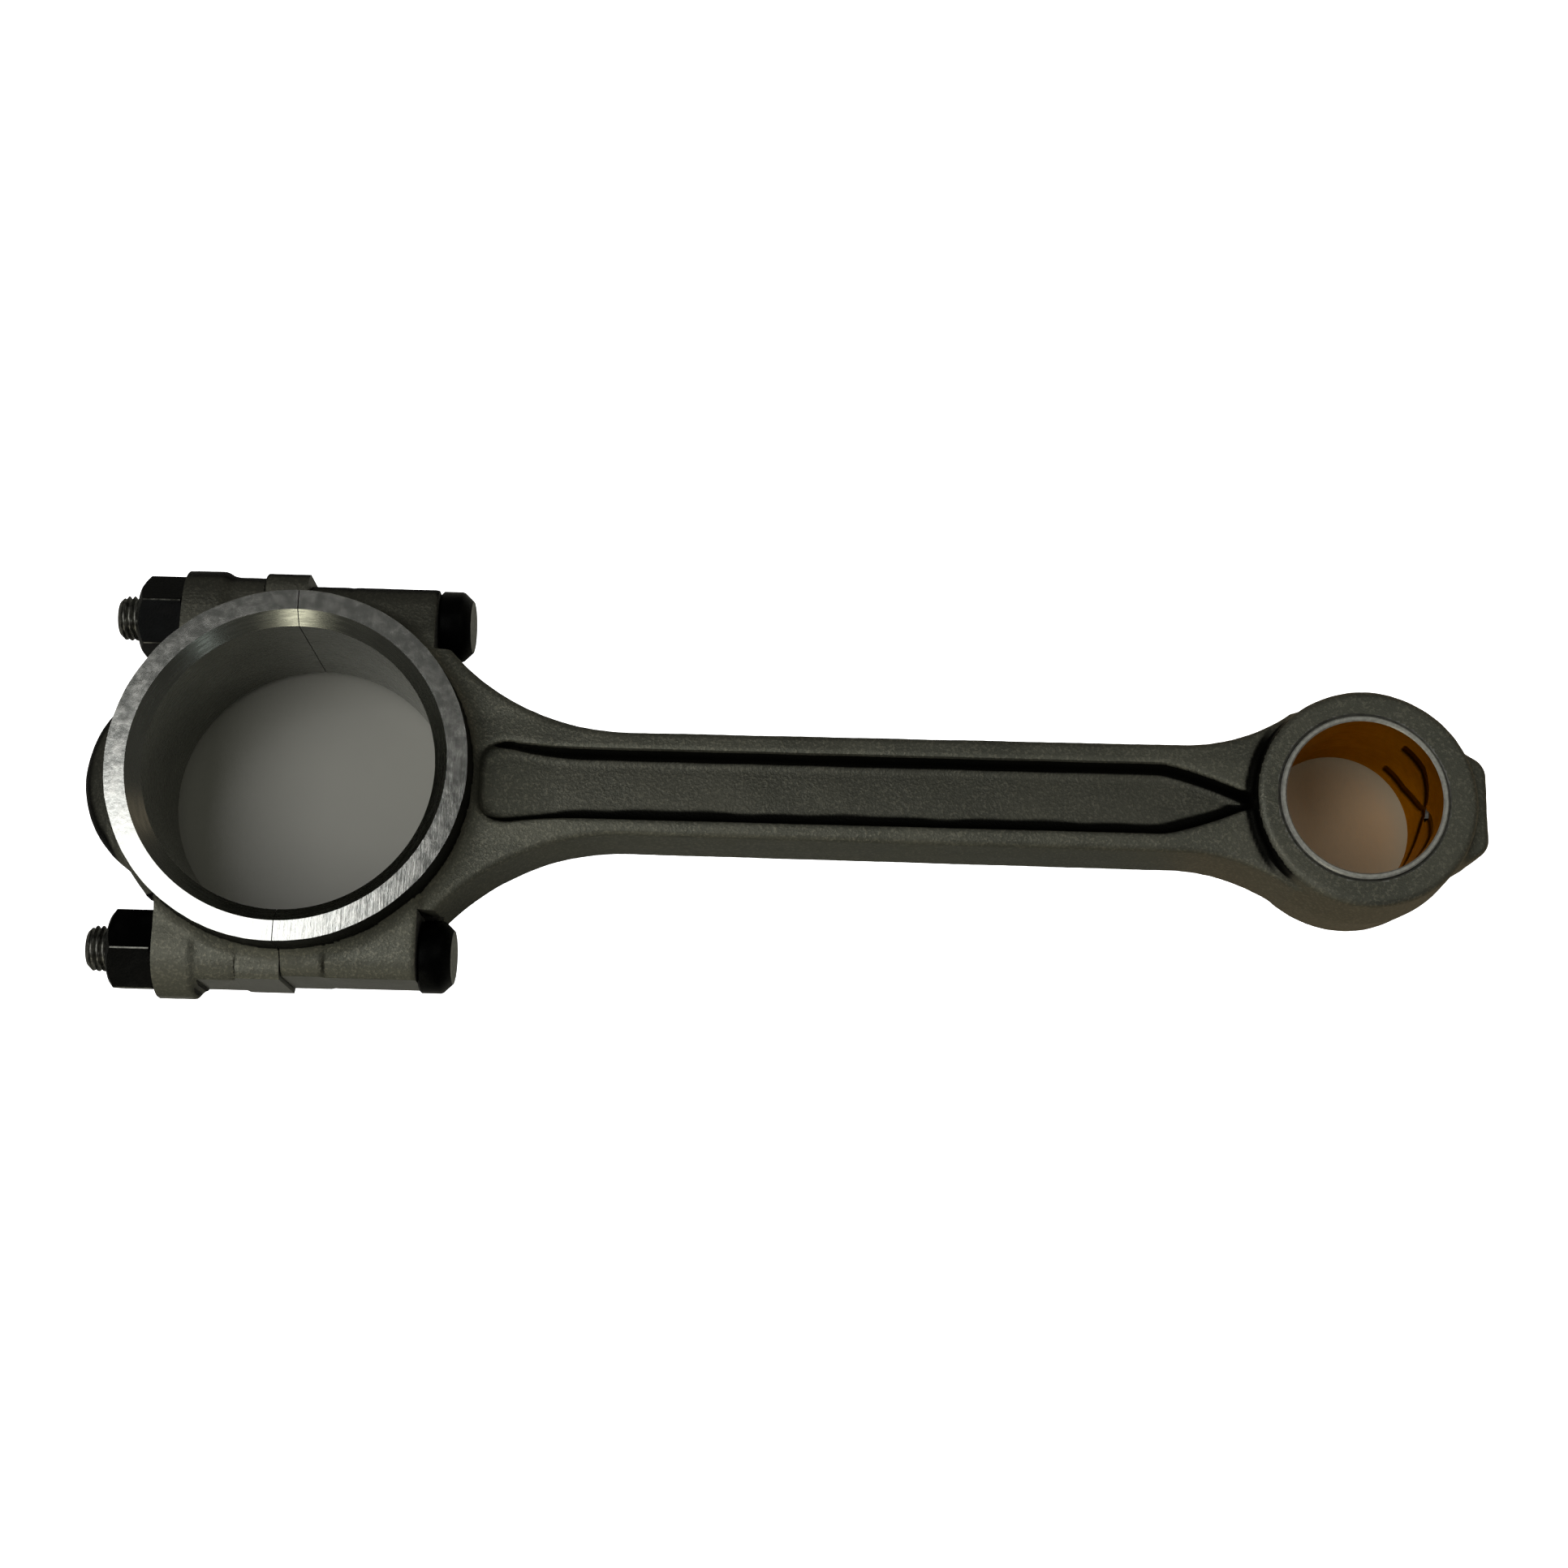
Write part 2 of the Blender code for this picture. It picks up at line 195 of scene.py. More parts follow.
def shank_half_width(x):
    """Half the width of the rod in plan, from the shoulder to the neck into the eye, and its slope."""
    flare = np.clip(FLARE_START - x, 0, FLARE_START - HEAD_SEAT)
    neck = np.clip(x - NECK_START, 0, 0.57 * NECK_R)
    flare_rise = np.sqrt(FLARE_R**2 - flare**2)
    neck_rise = np.sqrt(NECK_R**2 - neck**2)
    widening = SHANK_WIDENS * np.clip((x - FLARE_START) / (NECK_START - FLARE_START), 0, 1)
    width = SHANK_HALF + widening + FLARE_R - flare_rise + NECK_R - neck_rise
    return width, np.hypot(flare / flare_rise, neck / neck_rise)


def channel_half_width(x):
    share = np.clip((x - CHANNEL_START) / (CHANNEL_NARROWS - CHANNEL_START), 0, 1)
    width = CHANNEL_HALF + (CHANNEL_WIDE - CHANNEL_HALF) * (1 - share) ** 2
    taper = np.clip((x - CHANNEL_TAPERS) / (CHANNEL_END - CHANNEL_TAPERS), 0, 2)
    return width - CHANNEL_HALF * taper**1.35


def channel_field(x, side, height):
    """The pocket between the flanges of the I-section, on both faces at once."""
    slope = 0.25 * smooth_step(x, CHANNEL_TAPERS, CHANNEL_END)
    depth_lean = 0.12 * (FORGED_HALF - height)
    wall = (side - channel_half_width(x)) / np.sqrt(1 + slope * slope) + depth_lean
    wall = rounded_max(wall, CHANNEL_START - x, 8.0)
    ramp = CHANNEL_RISE * (1 - smooth_step(x, CHANNEL_START, CHANNEL_START + 17))
    crowned = 0.25 * np.clip(1 - (side / 7.0) ** 2, 0, 1)
    return rounded_max(wall, WEB_HALF + ramp + crowned - height, 2.2)


def rod_field(x, y, z):
    side, height = np.abs(y), np.abs(z)
    width, slope = shank_half_width(x)
    plan = (side - width) / np.sqrt(1 + slope * slope) + 0.03 * height - 0.15
    plan = np.maximum(plan, x - CENTRES)
    outward = np.clip(side - CHANNEL_HALF, 0, 6)
    body = rounded_max(plan, height - PLATE_HALF + 0.11 * outward, 1.3)
    body = rounded_max(body, -channel_field(x, np.abs(y + CHANNEL_SHIFT), height), 0.7)
    round_big = np.hypot(x, y)
    ring = round_big - RING_R - 0.03 * (RING_FACE - height)

    sloped = height + 0.14 * np.clip(side - 32, 0, 16)
    boss = rounded_bar(side, sloped, ROD_SIDE, FORGED_HALF, BOSS_CORNER)
    flange = rounded_bar(side, height, ROD_FLANGE_SIDE, FORGED_HALF - 0.5, 4.0)
    flange = np.where(y > 0, boss, flange)
    flange = rounded_max(flange, np.abs(x - 2) - (ROD_FLANGE_END - 2), 0.6)
    boss_mid = (ROD_FLANGE_END + HEAD_SEAT + 0.4) / 2
    boss = rounded_max(boss, np.abs(x - boss_mid) - (HEAD_SEAT + 0.4 - ROD_FLANGE_END) / 2, 1.3)
    bosses = np.maximum(filleted_min(boss, flange, 1.0), BOSS_INNER - side)
    body = filleted_min(body, bosses, 1.4)
    body = filleted_min(body, ring, 3.0)
    body = np.maximum(body, height - RING_FACE - 1)

    eye_x = x - CENTRES
    eye_r = np.hypot(eye_x - EYE_SHIFT, y)
    eye = rounded_max(eye_r - EYE_R + (EYE_R - EYE_FACE_R) * height / EYE_HALF, height - EYE_HALF, 1.6)
    body = filleted_min(body, eye, 1.1)
    bevel = np.clip((eye_x - (PAD_REACH - 5)) / 5, 0, 1)
    pad = side - PAD_BASE_HALF + (PAD_BASE_HALF - PAD_HALF) * bevel
    pad = rounded_max(pad, eye_x - PAD_REACH, 2.2)
    pad = rounded_max(pad, height - PAD_HALF_HEIGHT, 1.8)
    pad = np.maximum(pad, 12 - eye_x)
    body = filleted_min(body, pad, 1.6)
    return np.maximum(body + unevenness(x, y, z), -1 - x)


def cap_field(x, y, z):
    side, height = np.abs(y), np.abs(z)
    round_big = np.hypot(x, y)
    arch = rounded_max(round_big - ARCH_R + 0.03 * height, height - PLATE_HALF, 1.5)
    crown_r = np.hypot(x - (CROWN_R - CROWN_REACH), y)
    dome = height - CROWN_HALF + 0.4 * np.clip(crown_r - 15, 0, 12)
    crown = rounded_max(crown_r - CROWN_R + 0.04 * height, dome, 2.5)
    ring = round_big - RING_R - 0.03 * (RING_FACE - height)
    spread = side - np.where(y > 0, CAP_EXTRA, 0)
    flange = rounded_bar(spread, height, CAP_FLANGE_SIDE, FORGED_HALF - 0.6, 4.0)
    flange = rounded_max(flange, np.abs(x + 3) - (CAP_FLANGE_END - 3), 0.6)
    sloped = height + 0.14 * np.clip(side - 32, 0, 16)
    boss = rounded_bar(spread, sloped, CAP_SIDE, FORGED_HALF, BOSS_CORNER)
    boss_mid = -(CAP_FLANGE_END + CAP_RAW_END) / 2
    boss = rounded_max(boss, np.abs(x - boss_mid) - (CAP_RAW_END - CAP_FLANGE_END) / 2, 0.9)
    collar = np.hypot(side - BOLT_Y, z) - COLLAR_R
    collar_mid = -(COLLAR_START + CAP_RAW_END) / 2
    collar = rounded_max(collar, np.abs(x - collar_mid) - (CAP_RAW_END - COLLAR_START) / 2, 0.8)
    boss = filleted_min(boss, collar, np.where(y > 0, 3.0, 1.2))
    boss = np.maximum(boss, side - BOLT_Y - COLLAR_R + 0.1)
    bosses = np.maximum(filleted_min(boss, flange, 0.8), BOSS_INNER - side)
    body = filleted_min(arch, crown, 1.5)
    body = filleted_min(body, bosses, 2.0)
    body = filleted_min(body, ring, 2.6)
    body = np.maximum(body, height - RING_FACE - 1)
    return np.maximum(body + unevenness(x, y, z), x - 1)


# ---------------------------------------------------------------- meshes


def mesh_from(name, points, quads):
    """A mesh from arrays of points and of four-cornered faces."""
    mesh = bpy.data.meshes.new(name)
    mesh.vertices.add(len(points))
    mesh.vertices.foreach_set("co", np.asarray(points, np.float32).ravel())
    mesh.loops.add(quads.size)
    mesh.loops.foreach_set("vertex_index", quads.astype(np.int32).ravel())
    mesh.polygons.add(len(quads))
    mesh.polygons.foreach_set("loop_start", np.arange(0, quads.size, 4, dtype=np.int32))
    mesh.update(calc_edges=True)
    return mesh


def add_object(name, mesh):
    made = bpy.data.objects.new(name, mesh)
    bpy.context.scene.collection.objects.link(made)
    return made


def surface_nets(field, low, high, step):
    """Points and faces of the field's zero surface: one point in each grid cell that the surface crosses."""
    axes = [np.arange(a, b + step, step) for a, b in zip(low, high)]
    grid = np.meshgrid(*axes, indexing="ij", sparse=True)
    value = field(*grid).astype(np.float32)
    size = np.array(value.shape)
    total = np.zeros((value.size, 3))
    count = np.zeros(value.size)
    crossings = []
    for axis in range(3):
        near = value[tuple(slice(0, -1) if a == axis else slice(None) for a in range(3))]
        far = value[tuple(slice(1, None) if a == axis else slice(None) for a in range(3))]
        node = np.argwhere((near < 0) != (far < 0))
        v0 = near[tuple(node.T)]
        v1 = far[tuple(node.T)]
        point = node.astype(float)
        point[:, axis] += v0 / (v0 - v1)
        b, c = (axis + 1) % 3, (axis + 2) % 3
        cells = []
        for back_b, back_c in ((1, 1), (0, 1), (0, 0), (1, 0)):
            cell = node.copy()
            cell[:, b] -= back_b
            cell[:, c] -= back_c
            index = np.ravel_multi_index(cell.T, size)
            cells.append(index)
            count += np.bincount(index, minlength=value.size)
            for k in range(3):
                total[:, k] += np.bincount(index, point[:, k], minlength=value.size)
        quads = np.stack(cells, axis=1)
        crossings.append(np.where((v0 < 0)[:, None], quads, quads[:, ::-1]))
    used = np.flatnonzero(count)
    points = total[used] / count[used, None] * step + np.array(low)
    renumber = np.zeros(value.size, np.int64)
    renumber[used] = np.arange(len(used))
    return points, renumber[np.concatenate(crossings)]


def gradient(field, points, reach=0.05):
    """The field at these points and its slope there."""
    here = field(*points.T)
    slope = np.empty_like(points)
    for axis in range(3):
        moved = points.copy()
        moved[:, axis] += reach
        slope[:, axis] = (field(*moved.T) - here) / reach
    return here, slope


def skin(name, field, low, high):
    """A closed mesh of the field's zero surface, with its points drawn right onto it."""
    points, quads = surface_nets(field, low, high, SKIN_STEP)
    for _ in range(2):
        here, slope = gradient(field, points)
        push = here / np.maximum((slope**2).sum(1), 0.25)
        points -= np.clip(push, -SKIN_STEP / 2, SKIN_STEP / 2)[:, None] * slope
    return mesh_from(name, points, quads)


def turned(profile, steps=TURNED_STEPS):
    """A solid of revolution about Z from (radius, z) points; it closes on the axis or as a ring."""
    bm = bmesh.new()
    verts = [bm.verts.new((r, 0, z)) for r, z in profile]
    edges = [bm.edges.new(pair) for pair in zip(verts, verts[1:])]
    if min(r for r, z in profile) > 0:
        edges.append(bm.edges.new((verts[-1], verts[0])))
    geom = verts + edges
    bmesh.ops.spin(bm, geom=geom, cent=(0, 0, 0), axis=(0, 0, 1), angle=math.tau, steps=steps, use_merge=True)
    bmesh.ops.remove_doubles(bm, verts=bm.verts, dist=1e-4)
    bmesh.ops.recalc_face_normals(bm, faces=bm.faces)
    return bm


def pin(radius, start, end, across=0, steps=96):
    """A round bar along X between two places, at a distance from the middle line."""
    bm = turned([(0, start), (radius, start), (radius, end), (0, end)], steps)
    turn = Matrix.Translation((0, across, 0)) @ Matrix.Rotation(math.pi / 2, 4, "Y")
    bmesh.ops.transform(bm, verts=bm.verts, matrix=turn)
    return bm


def block(low, high):
    bm = bmesh.new()
    bmesh.ops.create_cube(bm, size=1)
    bmesh.ops.scale(bm, vec=[b - a for a, b in zip(low, high)], verts=bm.verts)
    bmesh.ops.translate(bm, vec=[(a + b) / 2 for a, b in zip(low, high)], verts=bm.verts)
    return bm


def moved(bm, x):
    bmesh.ops.translate(bm, vec=(x, 0, 0), verts=bm.verts)
    return bm


def cut(target, cutters):
    """Cuts each of these shapes out of the target, one after another."""
    tools = []
    for i, bm in enumerate(cutters):
        mesh = bpy.data.meshes.new("cutter")
        bm.to_mesh(mesh)
        bm.free()
        tool = add_object(f"cutter_{i}", mesh)
        modifier = target.modifiers.new(f"cut_{i}", "BOOLEAN")
        modifier.operation = "DIFFERENCE"
        modifier.solver = "MANIFOLD"
        modifier.object = tool
        tools.append(tool)
    graph = bpy.context.evaluated_depsgraph_get()
    result = bpy.data.meshes.new_from_object(target.evaluated_get(graph))
    target.modifiers.clear()
    old, target.data = target.data, result
    bpy.data.meshes.remove(old)
    for tool in tools:
        mesh = tool.data
        bpy.data.objects.remove(tool)
        bpy.data.meshes.remove(mesh)


def face_arrays(mesh):
    """The middle and the normal of every face."""
    middle = np.empty(len(mesh.polygons) * 3, np.float32)
    normal = np.empty(len(mesh.polygons) * 3, np.float32)
    mesh.polygons.foreach_get("center", middle)
    mesh.polygons.foreach_get("normal", normal)
    return middle.reshape(-1, 3), normal.reshape(-1, 3)


def vertex_arrays(mesh):
    place = np.empty(len(mesh.vertices) * 3, np.float32)
    normal = np.empty(len(mesh.vertices) * 3, np.float32)
    mesh.vertices.foreach_get("co", place)
    mesh.vertices.foreach_get("normal", normal)
    return place.reshape(-1, 3).astype(float), normal.reshape(-1, 3).astype(float)


def finish_shape(target, sharp=32):
    target.data.shade_smooth()
    target.data.set_sharp_from_angle(angle=math.radians(sharp))


def place(target):
    """Turns a shape drawn in rod axes and millimetres into the row frame."""
    target.data.transform(Matrix.Translation(BIG_END) @ Matrix.Scale(0.001, 4))
    return target


# ---------------------------------------------------------------- forged pieces


def big_bore():
    mouth = BIG_BORE_R + BORE_CHAMFER
    clear = RING_FACE + 4
    lower = [(mouth, -clear), (mouth, -RING_FACE), (BIG_BORE_R, BORE_CHAMFER - RING_FACE)]
    return turned([(0, -clear), *lower, *[(r, -z) for r, z in lower[::-1]], (0, clear)], 240)


def ring_faces():
    """What is above and below the machined thrust faces."""
    above = block((-FAR, -FAR, RING_FACE), (FAR, FAR, TALL))
    below = block((-FAR, -FAR, -TALL), (FAR, FAR, -RING_FACE))
    return [above, below]


def bolt_seats(towards, seat, spot_r, spot_open):
    """The bolt holes, and the spot faces around them, which are open to the outside."""
    cutters = []
    for side in (-1, 1):
        cutters.append(pin(BOLT_R + BOLT_CLEAR, -FAR, FAR, side * BOLT_Y))
        start, end = sorted((towards * seat, towards * FAR))
        cutters.append(pin(spot_r, start, end, side * BOLT_Y, 120))
        cutters.append(beyond(side, BOLT_Y - spot_open, start, end))
    return cutters


def beyond(side, distance, start, end):
    """A block of everything further out than a distance on one side, between two places along X."""
    low_y, high_y = sorted((side * distance, side * FAR))
    return block((start, low_y, -TALL), (end, high_y, TALL))


def rod_forging():
    low = (-GRID_MARGIN, -ROD_GRID_SIDE, -GRID_HEIGHT)
    high = (CENTRES + 30, ROD_GRID_SIDE, GRID_HEIGHT)
    rod = add_object("rod_forging", skin("rod_forging", rod_field, low, high))
    chamfer = 0.5
    seat_r = BUSH_R + BUSH_CLEAR
    mouth = seat_r + chamfer
    clear = EYE_HALF + 4
    lower = [(mouth, -clear), (mouth, -EYE_HALF), (seat_r, chamfer - EYE_HALF)]
    bush_seat = turned([(0, -clear), *lower, *[(r, -z) for r, z in lower[::-1]], (0, clear)])
    oil = pin(OIL_HOLE_R, 8, 40, steps=32)
    cutters = [block((-FAR, -FAR, -TALL), (SPLIT_GAP / 2, FAR, TALL)), *ring_faces(), big_bore()]
    cutters += bolt_seats(1, HEAD_SEAT, HEAD_SPOT_R, HEAD_SPOT_OPEN)
    cutters += [moved(bush_seat, CENTRES), moved(oil, CENTRES)]
    for side in (-1, 1):
        cutters.append(beyond(side, ROD_FLANGE_SIDE - ROD_MILLED, -5, 40))
    cut(rod, cutters)
    return rod


def cap_forging():
    low = (-CROWN_REACH - GRID_MARGIN, -CAP_GRID_SIDE, -GRID_HEIGHT)
    high = (GRID_MARGIN, CAP_GRID_SIDE, GRID_HEIGHT)
    cap = add_object("cap_forging", skin("cap_forging", cap_field, low, high))
    cutters = [block((-SPLIT_GAP / 2, -FAR, -TALL), (FAR, FAR, TALL)), *ring_faces(), big_bore()]
    cutters += bolt_seats(-1, NUT_SEAT, SPOT_R, SPOT_OPEN)
    for side in (-1, 1):
        milled = CAP_FLANGE_SIDE + (CAP_EXTRA - 0.3 if side > 0 else -1.0)
        cutters.append(beyond(side, milled, 1 - COLLAR_START, 5))
    cut(cap, cutters)
    return cap


def channel_shade_paint(point):
    """Painted shade in the channel: thick in its corners, widest along the -Y one, and thin between."""
    x, y, z = point.T
    to_wall = channel_half_width(x) - np.abs(y + CHANNEL_SHIFT)
    widest = np.where(y < 0, 3.1, 1.0)
    fade = 1.5
    between = 0.4
    ragged = 1 + 0.05 * np.sin(0.17 * x) + 0.04 * np.sin(0.43 * x + 1)
    reach = ragged * widest * (0.45 + 0.55 * smooth_step(x, 44, 66))
    inside = (x > CHANNEL_START) & (x < CHANNEL_END + 2)
    inside &= (np.abs(z) < PLATE_HALF - 0.8) & (to_wall > -1.2)
    corner = np.where(inside, np.clip(1 + (reach - to_wall) / fade, 0, 1), 0)
    return np.maximum(corner, between * smooth_step(x, 42, 60) * (inside & (to_wall > 0)))


def eye_shade_paint(point):
    """Painted shade on the wall and in the corner where the eye stands out of the shank."""
    x, y, z = point.T
    eye_r = np.hypot(x - CENTRES - EYE_SHIFT, y)
    height = np.abs(z)
    inside = (eye_r > EYE_FACE_R - 0.1) & (height > PLATE_HALF - 0.9) & (height < EYE_HALF - 0.9)
    corner = smooth_step((CENTRES - x) / eye_r, 0.55, 0.85) * np.clip(EYE_R + 1.9 - eye_r, 0, 1)
    return np.where(inside, 0.95 * corner, 0)


def crown_boss_shade_paint(point):
    """Painted shade that makes the cap's crown and the bosses on the +Y side darker than the rest, as they
    get less light.
    """
    x, y, _ = point.T
    crown = 0.72 * smooth_step(-x, 36, 41)
    boss = 0.62 * smooth_step(y, 29, 34) * (x < HEAD_SEAT + 2)
    return np.maximum(crown, boss)


def paint_forging(target, field, materials):
    """Gives machined faces their own materials, and stores how much painted shade each point gets, as a point
    attribute.

    That painted shade comes from how deep in a recess the point lies, and from painted shade put on by place.
    """
    target.data.materials.clear()
    for made in materials:
        target.data.materials.append(made)
    middle, normal = face_arrays(target.data)
    x, y, z = middle.T
    round_big = np.hypot(x, y)
    flat_up = np.abs(normal[:, 2]) > 0.99
    squarely = 0.999
    index = np.full(len(middle), FORGED, np.int32)
    index[(np.abs(np.abs(z) - RING_FACE) < 0.02) & flat_up] = FACED
    index[(round_big < BIG_BORE_R + BORE_CHAMFER + 0.05) & (index == FORGED)] = BORED
    side_face = (np.abs(normal[:, 1]) > squarely) & (np.abs(y) > 42) & (np.abs(x) < 40)
    split_face = (np.abs(normal[:, 0]) > squarely) & (np.abs(x) < SPLIT_GAP)
    seat_face = (np.abs(normal[:, 0]) > squarely) & (np.abs(x) > 26) & (np.abs(x) < 29)
    hole = np.hypot(np.abs(y) - BOLT_Y, z) < BOLT_R + 0.5
    bush_hole = np.hypot(x - CENTRES, y) < BUSH_R + 0.7
    index[side_face | split_face | seat_face | hole | bush_hole] = MILLED
    target.data.polygons.foreach_set("material_index", index)
    point, out = vertex_arrays(target.data)
    painted_shade = np.zeros(len(point))
    # Painted shade: a point gets darker the deeper it lies in a recess, judged by the field a short way out
    # along its normal.
    reaches = (1.5, 3.0, 6.0)
    for reach in reaches:
        ahead = point + reach * out
        painted_shade += np.clip(1 - field(*ahead.T) / reach, 0, 1) / len(reaches)
    # The ring's outer wall gets painted shade, dark all the way round.
    ring_wall = np.abs(np.hypot(point[:, 0], point[:, 1]) - RING_R) < 0.6
    ring_wall &= (np.abs(point[:, 2]) > FORGED_HALF + 1) & (np.abs(out[:, 2]) < 0.3)
    painted_shade[ring_wall] = 0.8  # dark all the way round
    # Painted shade put on by place: in the channel, on the eye's wall, and on the crown and the +Y bosses.
    for scale in (channel_shade_paint, eye_shade_paint, crown_boss_shade_paint):
        painted_shade = np.maximum(painted_shade, scale(point))
    attribute = target.data.attributes.new("painted_shade", "FLOAT", "POINT")
    attribute.data.foreach_set("value", painted_shade.astype(np.float32))


# ---------------------------------------------------------------- fasteners


def thread_surface(radius, depth, start, end, outwards, steps=72):
    """A right-handed thread along X: where its rings lie, and their radii, which follow the helix."""
    rows = int(round((end - start) / (PITCH / 10)))
    x = np.linspace(start, end, rows + 1)[:, None]
    turn = np.linspace(0, math.tau, steps, endpoint=False)[None, :]
    phase = (x / PITCH - turn / math.tau) % 1.0
    cut_in = 1 - np.clip(np.abs(phase - 0.5) * 2.6 - 0.35, 0, 1)
    r = radius + (1 if outwards else -1) * depth * cut_in
    return x[:, 0], r


def ring_strip(rings):
    """The points and faces of a skin through rings, each of as many points."""
    steps = len(rings[0])
    points = np.concatenate(rings)
    quads = []
    across = np.arange(steps)
    following = (across + 1) % steps
    for row in range(len(rings) - 1):
        near, far = row * steps, (row + 1) * steps
        quads.append(np.stack([near + across, near + following, far + following, far + across], 1))
    return points, np.concatenate(quads)


def round_ring(x, radius, turn):
    radius = np.broadcast_to(radius, turn.shape)
    return np.stack([np.full(turn.shape, x), radius * np.cos(turn), radius * np.sin(turn)], axis=-1)


def closed_from_rings(name, rings):
    """A skin through rings, with a flat face at each end."""
    points, quads = ring_strip(rings)
    steps = len(rings[0])
    mesh = mesh_from(name, points, quads)
    bm = bmesh.new()
    bm.from_mesh(mesh)
    bm.verts.ensure_lookup_table()
    count = len(bm.verts)
    bm.faces.new([bm.verts[i] for i in range(steps)])
    bm.faces.new([bm.verts[i] for i in range(count - steps, count)])
    bmesh.ops.recalc_face_normals(bm, faces=bm.faces)
    bm.to_mesh(mesh)
    bm.free()
    return mesh


def looped_from_rings(name, rings):
    """A skin through rings, whose last ring joins the first."""
    points, quads = ring_strip([*rings, rings[0]])
    total = len(rings) * len(rings[0])
    mesh = mesh_from(name, points[:total], quads % total)
    bm = bmesh.new()
    bm.from_mesh(mesh)
    bmesh.ops.recalc_face_normals(bm, faces=bm.faces)
    bm.to_mesh(mesh)
    bm.free()
    return mesh


def rod_bolt(side):
    """A plain round head with a bevelled face, a shank and a right-handed thread, in one skin."""
    steps = 96
    turn = np.linspace(0, math.tau, steps, endpoint=False)
    under = HEAD_SEAT + SEAT_CLEAR
    top = under + HEAD_HEIGHT
    face = top - 0.25
    bevel_r = HEAD_R - HEAD_BEVEL
    bevel_end = top - HEAD_BEVEL
    head = [(face, 0.6), (face, bevel_r - 1.6), (top, bevel_r - 1.0), (top, bevel_r - 0.2)]
    head += [(top - 0.12, bevel_r + 0.25), (bevel_end + 0.25, HEAD_R - 0.22), (bevel_end - 0.25, HEAD_R)]
    head += [(under + 0.5, HEAD_R), (under + 0.1, HEAD_R - 0.35), (under, HEAD_R - 0.8)]
    shank = [(under, BOLT_R + 0.5), (under - 0.5, BOLT_R), (1 - WAIST_START, BOLT_R)]
    shank += [(-WAIST_START, BOLT_R - 0.7), (-WAIST_END, BOLT_R - 0.7)]
    rings = [round_ring(x, r, turn) for x, r in head + shank]
    x, r = thread_surface(BOLT_R, 0.68, -THREAD_END, -WAIST_END - 0.5, False, steps)
    lead = np.clip((x + THREAD_END) / 1.2, 0, 1)
    r = np.minimum(r, BOLT_R - 1.15 * (1 - lead[:, None]))
    rings += [round_ring(*row, turn) for row in zip(x[::-1], r[::-1])]
    rings.append(round_ring(-THREAD_END, BOLT_R - 1.6, turn))
    rings.append(round_ring(0.15 - THREAD_END, 0.5, turn))
    name = "bolt_" + ("left" if side > 0 else "right")
    mesh = closed_from_rings(name, rings)
    mesh.transform(Matrix.Translation((0, side * BOLT_Y, 0)))
    return add_object(name, mesh)


def hexagon_radius(turn, across_flats):
    """Distance from the middle of a hexagon to its side in each direction, with a corner at zero."""
    folded = (turn % (math.pi / 3)) - math.pi / 6
    return across_flats / 2 / np.cos(folded)


def nut(side, turn_by):
    """A hexagon nut chamfered at its outer end, with a threaded bore."""
    steps = 360
    turn = np.linspace(0, math.tau, steps, endpoint=False)
    flat_r = NUT_ACROSS_FLATS / 2
    hexagon = np.minimum(hexagon_radius(turn - turn_by, NUT_ACROSS_FLATS), NUT_CORNER_R - NUT_CORNER_WEAR)
    seat = -NUT_SEAT - SEAT_CLEAR
    out = seat - NUT_HEIGHT
    rings = []
    bore = BOLT_R + 0.15
    thread_start, thread_end = out + 0.7, seat - 0.7
    rings.append(round_ring(thread_end + 0.05, bore, turn))
    rings.append(round_ring(seat, bore + 0.75, turn))
    rings.append(round_ring(seat, flat_r - 0.5, turn))
    rings.append(round_ring(seat - 0.25, flat_r - 0.1, turn))
    for drop in np.linspace(0, 1, 6):
        limit = flat_r - 0.1 + 1.35 * drop
        rings.append(round_ring(seat - 0.25 - 0.45 * drop, np.minimum(hexagon, limit), turn))
    cone_top = flat_r - 0.55
    cone_bottom = NUT_CORNER_R + 0.05
    cone_drop = (cone_bottom - cone_top) * math.tan(math.radians(38))
    for share in np.linspace(0, 1, 22):
        x = out + 0.06 + cone_drop * (1 - share)
        limit = cone_bottom + (cone_top - cone_bottom) * share
        rings.append(round_ring(x, np.minimum(hexagon, limit), turn))
    rings.append(round_ring(out, cone_top - 0.25, turn))
    rings.append(round_ring(out, bore + 0.75, turn))
    x, r = thread_surface(bore, 0.45, thread_start, thread_end, True, steps)
    rings += [round_ring(*row, turn) for row in zip(x, r)]
    name = "nut_" + ("left" if side > 0 else "right")
    mesh = looped_from_rings(name, rings)
    mesh.transform(Matrix.Translation((0, side * BOLT_Y, 0)))
    return add_object(name, mesh)


# ---------------------------------------------------------------- bush


def groove(turn, z):
    """Depth of the oil groove: two arms either side of the oil hole, which run together at it."""
    off = np.abs((np.degrees(turn) - 4 + 180) % 360 - 180)
    arm = 8.3 * np.clip((off - 2) / 24, 0, 1) ** 0.6
    away = np.abs(np.abs(z + 1) - arm)
    ends = np.clip((49 - off) / 3, 0, 1)
    return GROOVE_DEPTH * np.clip(1.2 - (away / GROOVE_HALF) ** 2, 0, 1) * ends


